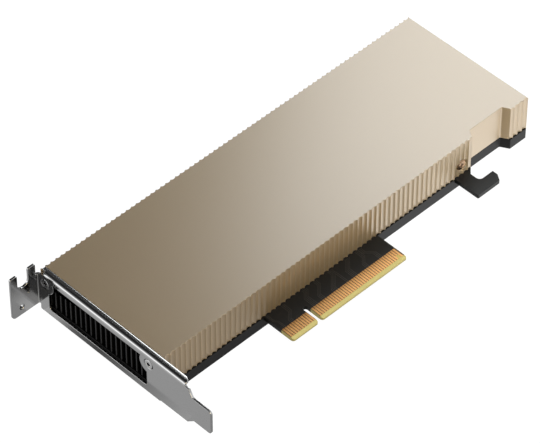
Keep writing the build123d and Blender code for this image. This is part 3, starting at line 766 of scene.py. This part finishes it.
@dataclass
class SlotBracket:
    """Folded sheet bracket with deburred edges, a coined strip and a drawn lip round the ear's hole.

    Args:
        edge_mm: Rounding of the cut edges.
        edge_deg: Least angle of the edges that are rounded.
        flange_end: Place along X and Z of the top flange's free edge, in millimetres.
        coined_mm: Width and drop of the coined strip along that edge.
        hole: Centre of the ear's hole along X and Z, in millimetres.
        hole_r: Radius of the hole.
        face_y: Face of the ear that looks towards the connector.
        lip_mm: Radius of the lip that the punch draws in.
    """

    edge_mm: float = 0.14
    edge_deg: float = 50.0
    flange_end: tuple[float, float] = (-55.5, 14.985)
    coined_mm: tuple[float, float] = (0.45, 0.10)
    hole: tuple[float, float] = (-65.5, 3.1)
    hole_r: float = 0.95
    face_y: float = 69.0
    lip_mm: float = 0.3

    def on_lip(self, corners: list[Vector], normal: Vector) -> bool:
        """Whether an edge runs round the hole on the ear's face."""
        return all(abs(corner.y - self.face_y) < NEAR_MM
                   and abs(math.hypot(corner.x - self.hole[0], corner.z - self.hole[1])
                           - self.hole_r) < LOOSE_MM for corner in corners)

    def on_flange_end(self, corners: list[Vector], normal: Vector) -> bool:
        """Whether an edge is the outer free edge of the top flange."""
        return all(abs(corner.x - self.flange_end[0]) < NEAR_MM
                   and abs(corner.z - self.flange_end[1]) < NEAR_MM for corner in corners)

    def coin(self, piece: Piece) -> None:
        """Press a shallow strip along the top flange's free edge, which catches the light.

        Args:
            piece: Bracket, in edit mode.
        """
        width, drop = self.coined_mm
        end_x, end_z = self.flange_end
        pick(piece, Pick.EDGES, self.on_flange_end)
        bpy.ops.mesh.bevel(offset=width * MM, segments=1, affect="EDGES", clamp_overlap=False)
        pick(piece, Pick.CORNERS, lambda corners, normal: (
            abs(corners[0].x - end_x) < NEAR_MM and abs(corners[0].z - end_z + width) < LOOSE_MM))
        bpy.ops.transform.translate(value=(0.0, 0.0, (width - drop) * MM))
        pick(piece, Pick.EDGES, lambda corners, normal: all(
            abs(corner.x - end_x + width) < NEAR_MM and abs(corner.z - end_z) < NEAR_MM
            for corner in corners))
        bpy.ops.mesh.mark_sharp()

    def build(self) -> None:
        """Copy the CAD bracket, draw the lip, coin the flange, round the edges and dress it."""
        piece = merged_copy("bracket", "slot_bracket")
        bpy.ops.object.mode_set(mode="EDIT")
        pick(piece, Pick.EDGES, self.on_lip)
        bpy.ops.mesh.bevel(offset=self.lip_mm * MM, segments=4, affect="EDGES", clamp_overlap=False)
        self.coin(piece)
        bpy.ops.object.mode_set(mode="OBJECT")
        round_edges(piece, self.edge_mm, self.edge_deg, segments=3)
        smooth(piece)
        hand_over(piece, NICKEL_SHEET, "plated_steel", "bracket")


@dataclass
class Screw:
    """One kind of screw, modelled once with its head up along Z and copied to each seat.

    Args:
        name: Name of the pieces.
        head_r: Radius of the head, in millimetres.
        top_z: Level of the head's top above its seat.
        low_z: Level where the head's side ends.
        neck_z: Level where the head has narrowed to the shank.
        shank_r: Radius of the shank.
        end_z: Level of the shank's end.
        rim_mm: Width of the slope round the head.
        slope_mm: Height of that slope.
        crown_mm: Height of the disc inside it.
        recess: Shape of the driver's hole.
        recess_r: Radius of that hole.
        recess_depth: Its depth.
        crown_edge_mm: Width of the slope round the disc.
        edge_mm: Rounding of the edges.
        edge_deg: Least angle of the edges that are rounded.
        sides: Flats round the head.
        valley_share: Radius between a star's lobes, as a share of its own.
        arm_share: Width of a cross's arms, as a share of its radius.
        floor_share: Size of the hole's floor, as a share of its mouth.
    """

    name: str
    head_r: float
    top_z: float
    low_z: float
    neck_z: float
    shank_r: float
    end_z: float
    rim_mm: float
    slope_mm: float
    crown_mm: float
    recess: Recess
    recess_r: float
    recess_depth: float
    crown_edge_mm: float = 0.25
    edge_mm: float = 0.05
    edge_deg: float = 40.0
    sides: int = 48
    valley_share: float = 0.70
    arm_share: float = 0.42
    floor_share: float = 0.7

    def ends_at(self, level: float, up: bool) -> Test:
        """Test for the flat face at a level that looks up or down."""
        return lambda corners, normal: (abs(normal.z) > 0.9 and (normal.z > 0) == up
                                        and abs(corners[0].z - level) < 0.01)

    def body(self) -> Piece:
        """Head and shank, drawn from one cylinder.

        Returns:
            The blank, at the origin.
        """
        side_top = self.top_z - self.slope_mm
        blank = primitive(
            bpy.ops.mesh.primitive_cylinder_add, vertices=self.sides, radius=self.head_r * MM,
            depth=(side_top - self.low_z) * MM, location=(0.0, 0.0, (side_top + self.low_z) / 2 * MM))
        bpy.ops.object.mode_set(mode="EDIT")
        pick(blank, Pick.FACES, self.ends_at(self.low_z, False))
        bpy.ops.mesh.extrude_region_move(
            TRANSFORM_OT_translate={"value": (0.0, 0.0, (self.neck_z - self.low_z) * MM)})
        narrow = self.shank_r / self.head_r
        bpy.ops.transform.resize(value=(narrow, narrow, 1.0))
        bpy.ops.mesh.extrude_region_move(
            TRANSFORM_OT_translate={"value": (0.0, 0.0, (self.end_z - self.neck_z) * MM)})
        pick(blank, Pick.FACES, self.ends_at(side_top, True))
        bpy.ops.mesh.inset(thickness=self.rim_mm * MM, depth=(self.slope_mm - self.crown_mm) * MM)
        bpy.ops.mesh.inset(thickness=self.crown_edge_mm * MM, depth=self.crown_mm * MM)
        bpy.ops.object.mode_set(mode="OBJECT")
        return blank

    def cutter(self) -> Piece:
        """Shape of the driver's hole, a little narrower at its floor.

        Returns:
            The cutter, at the origin.
        """
        tall = 2 * self.recess_depth * MM
        arm = self.arm_share * self.recess_r * MM
        place = (0.0, 0.0, self.top_z * MM)
        star_corners = 12
        if self.recess is Recess.STAR:
            tool = primitive(bpy.ops.mesh.primitive_cylinder_add, vertices=star_corners,
                             radius=self.recess_r * MM, depth=tall, location=place)
        else:
            tool = primitive(bpy.ops.mesh.primitive_cube_add, size=arm, location=place)
        bpy.ops.object.mode_set(mode="EDIT")
        if self.recess is Recess.STAR:
            pick(tool, Pick.CORNERS, lambda corners, normal: round(
                math.degrees(math.atan2(corners[0].y, corners[0].x)) * star_corners / 360) % 2 == 1)
            bpy.ops.transform.resize(value=(self.valley_share, self.valley_share, 1.0))
        else:
            pick(tool, Pick.FACES, lambda corners, normal: abs(normal.z) < 0.1)
            bpy.ops.mesh.extrude_faces_move(
                TRANSFORM_OT_shrink_fatten={"value": self.recess_r * MM - arm / 2})
            bpy.ops.mesh.select_all(action="SELECT")
            bpy.ops.transform.resize(value=(1.0, 1.0, tall / arm), center_override=place)
        floor_z = self.top_z - self.recess_depth
        pick(tool, Pick.CORNERS, lambda corners, normal: corners[0].z < floor_z + NEAR_MM)
        bpy.ops.transform.resize(value=(self.floor_share, self.floor_share, 1.0),
                                 center_override=(0.0, 0.0, 0.0))
        bpy.ops.object.mode_set(mode="OBJECT")
        return tool

    def build(self, seats: list[tuple[Point, Point]], finish: Finish, slot: str, node: str) -> None:
        """Model the screw and copy it to its seats.

        Args:
            seats: Place in millimetres and rotation in degrees of each screw.
            finish: What the screws are made of.
            slot: Material slot of the record; passed on, not used.
            node: CAD node that the screws stand for.
        """
        blank, tool = self.body(), self.cutter()
        apply_modifier(blank, "BOOLEAN", object=tool, operation="DIFFERENCE", solver="EXACT")
        bpy.data.objects.remove(tool)
        round_edges(blank, self.edge_mm, self.edge_deg)
        smooth(blank)
        for number, (place, turn) in enumerate(seats, 1):
            piece = new_piece(f"{self.name}_{number}", blank.data)
            piece.location = Vector(place) * MM
            piece.rotation_euler = [math.radians(angle) for angle in turn]
            bpy.ops.object.transform_apply(location=True, rotation=True, scale=True)
            hand_over(piece, finish, slot, node)
        bpy.data.objects.remove(blank)


def build_screws() -> None:
    """Model the two kinds of screw that the photograph shows and set them in their seats."""
    low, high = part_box("bracket_screws")
    head_r = 2.1
    across = [low.y / MM + head_r, high.y / MM - head_r]
    centre_z = (low.z + high.z) / 2 / MM
    face_x = low.x / MM
    Screw("bracket_screw", head_r, top_z=0.0, low_z=-0.55, neck_z=-1.3, shank_r=1.2, end_z=-6.2,
          rim_mm=0.42, slope_mm=0.40, crown_mm=0.08,
          recess=Recess.STAR, recess_r=1.05, recess_depth=1.0).build(
        [((face_x, y, centre_z), (0.0, -90.0, 0.0)) for y in across],
        NICKEL_SCREW, "screw_steel", "bracket_screws")
    low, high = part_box("side_screws")
    centre_x, centre_z = (low.x + high.x) / 2 / MM, (low.z + high.z) / 2 / MM
    head_t = 0.55
    Screw("side_screw", head_r, top_z=head_t, low_z=0.0, neck_z=-0.02, shank_r=1.0, end_z=-5.0,
          rim_mm=0.35, slope_mm=0.30, crown_mm=0.08,
          recess=Recess.CROSS, recess_r=1.25, recess_depth=0.5).build(
        [((centre_x, low.y / MM + head_t, centre_z), (90.0, 0.0, 0.0)),
         ((centre_x, high.y / MM - head_t, centre_z), (-90.0, 0.0, 0.0))],
        BRONZE_SCREW, "bronze_screws", "side_screws")


@dataclass
class TraceBundle:
    """Copper traces that leave the gold fingers side by side under the solder mask.

    Real traces are about 0.15 mm wide. These are drawn coarser, or the picture wouldn't show them.

    Args:
        first_x: Middle of the first trace at the fingers, in millimetres.
        count: Number of traces.
        pitch: Distance between them.
        runs: Steps along X and Y from the fingers to the foot of the cover.
        width: Width of a trace.
        thickness: How far it stands out of the board.
        start_y: Where the bundle leaves the fingers.
    """

    first_x: float
    count: int
    pitch: float
    runs: tuple[tuple[float, float], ...]
    width: float = 0.22
    thickness: float = 0.03
    start_y: float = 5.9

    def build(self, number: int, board_top: float) -> Piece:
        """Extrude one trace along its runs, repeat it and give it the copper's thickness.

        Args:
            number: Number of the bundle.
            board_top: Level of the board's component side, in metres.

        Returns:
            The bundle's piece.
        """
        piece = primitive(
            bpy.ops.mesh.primitive_plane_add, size=self.width * MM,
            location=(self.first_x * MM, (self.start_y - self.width / 2) * MM, board_top))
        piece.name = f"mask_traces_{number}"
        bpy.ops.object.mode_set(mode="EDIT")
        pick(piece, Pick.EDGES, lambda corners, normal: all(
            abs(corner.y - self.start_y) < NEAR_MM for corner in corners))
        for step_x, step_y in self.runs:
            bpy.ops.mesh.extrude_region_move(
                TRANSFORM_OT_translate={"value": (step_x * MM, step_y * MM, 0.0)})
        bpy.ops.object.mode_set(mode="OBJECT")
        apply_modifier(piece, "ARRAY", count=self.count, use_relative_offset=False,
                       use_constant_offset=True, constant_offset_displace=(self.pitch * MM, 0.0, 0.0))
        apply_modifier(piece, "SOLIDIFY", thickness=self.thickness * MM, offset=1.0)
        return piece


@dataclass
class Connector:
    """Edge connector: the traces between its gold fingers and the cover.

    Args:
        bundles: Bundles of traces, from the bracket's side to the far end.
    """

    bundles: tuple[TraceBundle, ...] = (
        TraceBundle(-10.5, 2, 0.5, ((0.0, 3.0), (-0.9, 0.9), (0.0, 3.4))),
        TraceBundle(-7.5, 3, 0.6, ((0.0, 1.2), (2.6, 2.6), (0.0, 3.4))),
        TraceBundle(2.5, 4, 0.6, ((0.0, 4.2), (2.0, 2.0), (0.0, 1.1))),
        TraceBundle(6.6, 3, 0.6, ((0.0, 2.2), (3.2, 3.2), (0.0, 1.9))),
        TraceBundle(11.6, 4, 0.6, ((0.0, 1.0), (4.6, 4.6), (0.0, 1.7))),
        TraceBundle(17.6, 2, 0.6, ((0.0, 5.4), (-1.2, 1.2), (0.0, 0.7))),
        TraceBundle(20.6, 4, 0.6, ((0.0, 3.4), (3.4, 3.4), (0.0, 0.5))),
        TraceBundle(26.6, 3, 0.6, ((0.0, 1.8), (2.2, 2.2), (0.0, 3.3))),
        TraceBundle(32.6, 3, 0.6, ((0.0, 2.8), (-2.4, 2.4), (0.0, 2.1))),
    )

    def build(self) -> None:
        """Lay the bundles on the board."""
        board_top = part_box("circuit_board")[1].z
        for number, bundle in enumerate(self.bundles, 1):
            hand_over(bundle.build(number, board_top), MASKED_COPPER, "board_laminate")


@dataclass(frozen=True)
class Sky:
    """Dark room with a tall light wall at the picture's left and at its right.

    Args:
        across: Direction from the left wall to the right one.
        above: Share of a direction that points across, from -1 to 1, and the room's brightness.
        below: The same under the horizon, where polished faces mirror the light table.
        horizon: Heights of a direction where the lower room ends and the upper one starts.
        top_light: Brightness that the ramps call one.
    """

    across: Point = (0.716, -0.698, 0.0)
    above: Stops = ((-1.0, 2.0), (-0.93, 1.8), (-0.86, 0.90), (-0.76, 0.20), (-0.5, 0.03),
                    (-0.2, 0.02), (-0.05, 0.065), (0.1, 0.08), (0.35, 0.33), (0.6, 0.69), (1.0, 1.05))
    below: Stops = ((-1.0, 0.80), (-0.8, 0.58), (-0.6, 0.44), (-0.5, 0.27), (-0.42, 0.13),
                    (-0.3, 0.03), (0.05, 0.03), (0.2, 0.34), (0.35, 0.42), (0.7, 0.37), (1.0, 0.60))
    horizon: tuple[float, float] = (-0.05, 0.10)
    top_light: float = 1.6

    def build(self) -> None:
        """Make it the scene's world."""
        world = bpy.data.worlds.new("studio_light")
        world.use_nodes = True
        tree = world.node_tree
        ray = add_node(tree, "ShaderNodeTexCoord").outputs["Generated"]
        share = add_node(tree, "ShaderNodeVectorMath", {"operation": "DOT_PRODUCT"},
                         {0: ray, 1: self.across})
        place = add_node(tree, "ShaderNodeMapRange",
                         inputs={"Value": share.outputs["Value"], "From Min": -1.0, "From Max": 1.0})
        height = add_node(tree, "ShaderNodeSeparateXYZ", inputs={"Vector": ray})
        upper = add_node(tree, "ShaderNodeMapRange",
                         inputs={"Value": height.outputs["Z"], "From Min": self.horizon[0],
                                 "From Max": self.horizon[1]})
        below, above = (
            add_ramp(tree, place.outputs["Result"],
                     tuple(((level + 1) / 2, light) for level, light in stops), self.top_light)
            for stops in (self.below, self.above))
        room = mix_colours(tree, upper.outputs["Result"], below, above)
        back = tree.nodes["Background"]
        tree.links.new(room, back.inputs["Color"])
        back.inputs["Strength"].default_value = self.top_light
        bpy.context.scene.world = world


@dataclass
class Softbox:
    """One large lamp with a soft edge.

    Args:
        name: Lamp's name.
        place: Its centre, in millimetres.
        aim: Point that it faces, in millimetres.
        size: Width and height, in millimetres.
        watts: Power.
        tint: sRGB colour of its light.
        glossy: Whether polished surfaces mirror it.
        spread_deg: Angle that its light fills, narrower behind a grid.
    """

    name: str
    place: Point
    aim: Point
    size: tuple[float, float]
    watts: float
    tint: str = "#ffffff"
    glossy: bool = True
    spread_deg: float = 180.0

    def build(self) -> None:
        """Add the lamp to the scene."""
        lamp = bpy.data.lights.new(self.name, "AREA")
        lamp.shape = "RECTANGLE"
        lamp.size, lamp.size_y = self.size[0] * MM, self.size[1] * MM
        lamp.energy = self.watts
        lamp.spread = math.radians(self.spread_deg)
        lamp.color = srgb(self.tint)[:3]
        holder = bpy.data.objects.new(self.name, lamp)
        holder.location = Vector(self.place) * MM
        holder.rotation_euler = (Vector(self.aim) - Vector(self.place)).to_track_quat("-Z", "Y").to_euler()
        holder.visible_camera = False
        holder.visible_glossy = self.glossy
        bpy.context.scene.collection.objects.link(holder)


@dataclass
class Studio:
    """Pale floor, soft light and the camera at the photograph's viewing angle.

    Args:
        floor_z: Level that the card rests on, in metres.
        camera_place: Camera's position, in millimetres.
        camera_tilt: Angle from straight down, in degrees.
        camera_turn: Angle about the vertical, in degrees.
        lens: Focal length, in millimetres.
        sensor: Width of the sensor, in millimetres.
        clip: Nearest and farthest distance that the camera sees, in metres.
        floor_side: Side of the floor, in metres.
        floor_glow: Light that the backlit floor gives off by itself.
        card_corners: Corners of the graded card on the floor, in millimetres.
        card_fade: Share of the card's length, from the connector on, and its brightness.
        sky: Room that lights and mirrors in the card.
        boxes: Lamps.
    """

    floor_z: float
    camera_place: Point = (-561.40, -549.09, 855.87)
    camera_tilt: float = 44.099
    camera_turn: float = -44.453
    lens: float = 243.24
    sensor: float = 36.0
    clip: tuple[float, float] = (0.05, 20.0)
    floor_side: float = 6.0
    floor_glow: float = 0.98
    card_corners: tuple[Point, Point] = ((-61.6, 2.0, 0.02), (-58.2, 68.0, 0.02))
    card_fade: Stops = ((0.0, 0.50), (0.3, 0.30), (0.62, 0.08), (0.80, 0.16), (0.93, 0.50), (1.0, 0.55))
    sky: Sky = Sky()
    boxes: list[Softbox] = field(default_factory=lambda: [
        Softbox("key_box", (350.0, 190.0, 300.0), (80.0, 30.0, 10.0), (260.0, 260.0), 0.745, "#eceff0"),
        Softbox("table_box", (190.0, -70.0, -60.0), (190.0, -70.0, 0.0), (260.0, 260.0), 0.22),
        Softbox("side_box", (-170.0, -270.0, 150.0), (-20.0, 13.0, 8.0), (160.0, 160.0), 0.50, "#ffeabc"),
        Softbox("far_box", (30.0, -230.0, 120.0), (102.0, 13.0, 8.0), (80.0, 80.0), 0.025, "#fafcf6",
                spread_deg=32.0),
        Softbox("fill_box", (0.0, 0.0, 1200.0), (0.0, 0.0, 0.0), (4000.0, 4000.0), 140.0, glossy=False),
    ])

    def add_floor(self) -> None:
        """Lay a plain pale floor under the card."""
        bpy.ops.mesh.primitive_plane_add(size=self.floor_side, location=(0.0, 0.0, self.floor_z))
        floor = bpy.context.active_object
        floor.name = "studio_floor"
        paper = Finish("studio_paper", "#2a2a2a", 0.0, 0.9, Surface.MOULDED, 8.0, 0.0, tone=0.002)
        material = paper.make()
        shader = material.node_tree.nodes["Principled BSDF"]
        shader.inputs["Emission Color"].default_value = srgb("#ffffff")
        shader.inputs["Emission Strength"].default_value = self.floor_glow
        floor.data.materials.append(material)
        floor.visible_glossy = False
        floor.visible_shadow = False

    def add_graded_card(self) -> None:
        """Lay a graded card beside the bracket's foot, which shows only as a reflection."""
        card = primitive(bpy.ops.mesh.primitive_plane_add, size=1.0)
        card.name = "graded_card"
        low, high = (Vector(corner) * MM for corner in self.card_corners)
        card.scale = (high.x - low.x, high.y - low.y, 1.0)
        card.location = (low + high) / 2 + Vector((0.0, 0.0, self.floor_z))
        bpy.ops.object.transform_apply(location=True, rotation=True, scale=True)
        material = bpy.data.materials.new("graded_card")
        material.use_nodes = True
        tree = material.node_tree
        shader = tree.nodes["Principled BSDF"]
        shader.inputs["Base Color"].default_value = srgb("#000000")
        shader.inputs["Emission Color"].default_value = srgb("#ffffff")
        share = add_node(tree, "ShaderNodeMapRange",
                         inputs={"Value": object_axes(tree).outputs["Y"],
                                 "From Min": low.y, "From Max": high.y})
        fade = add_ramp(tree, share.outputs["Result"], self.card_fade)
        tree.links.new(fade, shader.inputs["Emission Strength"])
        card.data.materials.append(material)
        card.visible_camera = card.visible_diffuse = card.visible_shadow = False

    def add_camera(self) -> None:
        """Put the camera where the photograph was taken from."""
        camera = bpy.data.cameras.new("camera")
        camera.lens = self.lens
        camera.sensor_width = self.sensor
        camera.clip_start, camera.clip_end = self.clip
        holder = bpy.data.objects.new("camera", camera)
        holder.location = Vector(self.camera_place) * MM
        holder.rotation_euler = (math.radians(self.camera_tilt), 0.0, math.radians(self.camera_turn))
        bpy.context.scene.collection.objects.link(holder)
        bpy.context.scene.camera = holder

    def build(self) -> None:
        """Add the floor, the light and the camera."""
        self.add_floor()
        self.add_graded_card()
        self.sky.build()
        for box in self.boxes:
            box.build()
        self.add_camera()
        bpy.context.scene.view_settings.view_transform = "Standard"


def main() -> None:
    """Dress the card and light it."""
    logging.basicConfig(level=logging.INFO, format="%(name)s: %(message)s")
    bpy.ops.object.select_all(action="DESELECT")
    dress_nodes()
    Cover().build()
    Heatsink().build()
    Tray().build()
    SlotBracket().build()
    build_screws()
    Connector().build()
    Studio(floor_z=LOADED_BOX[0].z).build()


if __name__ == "__main__":
    main()
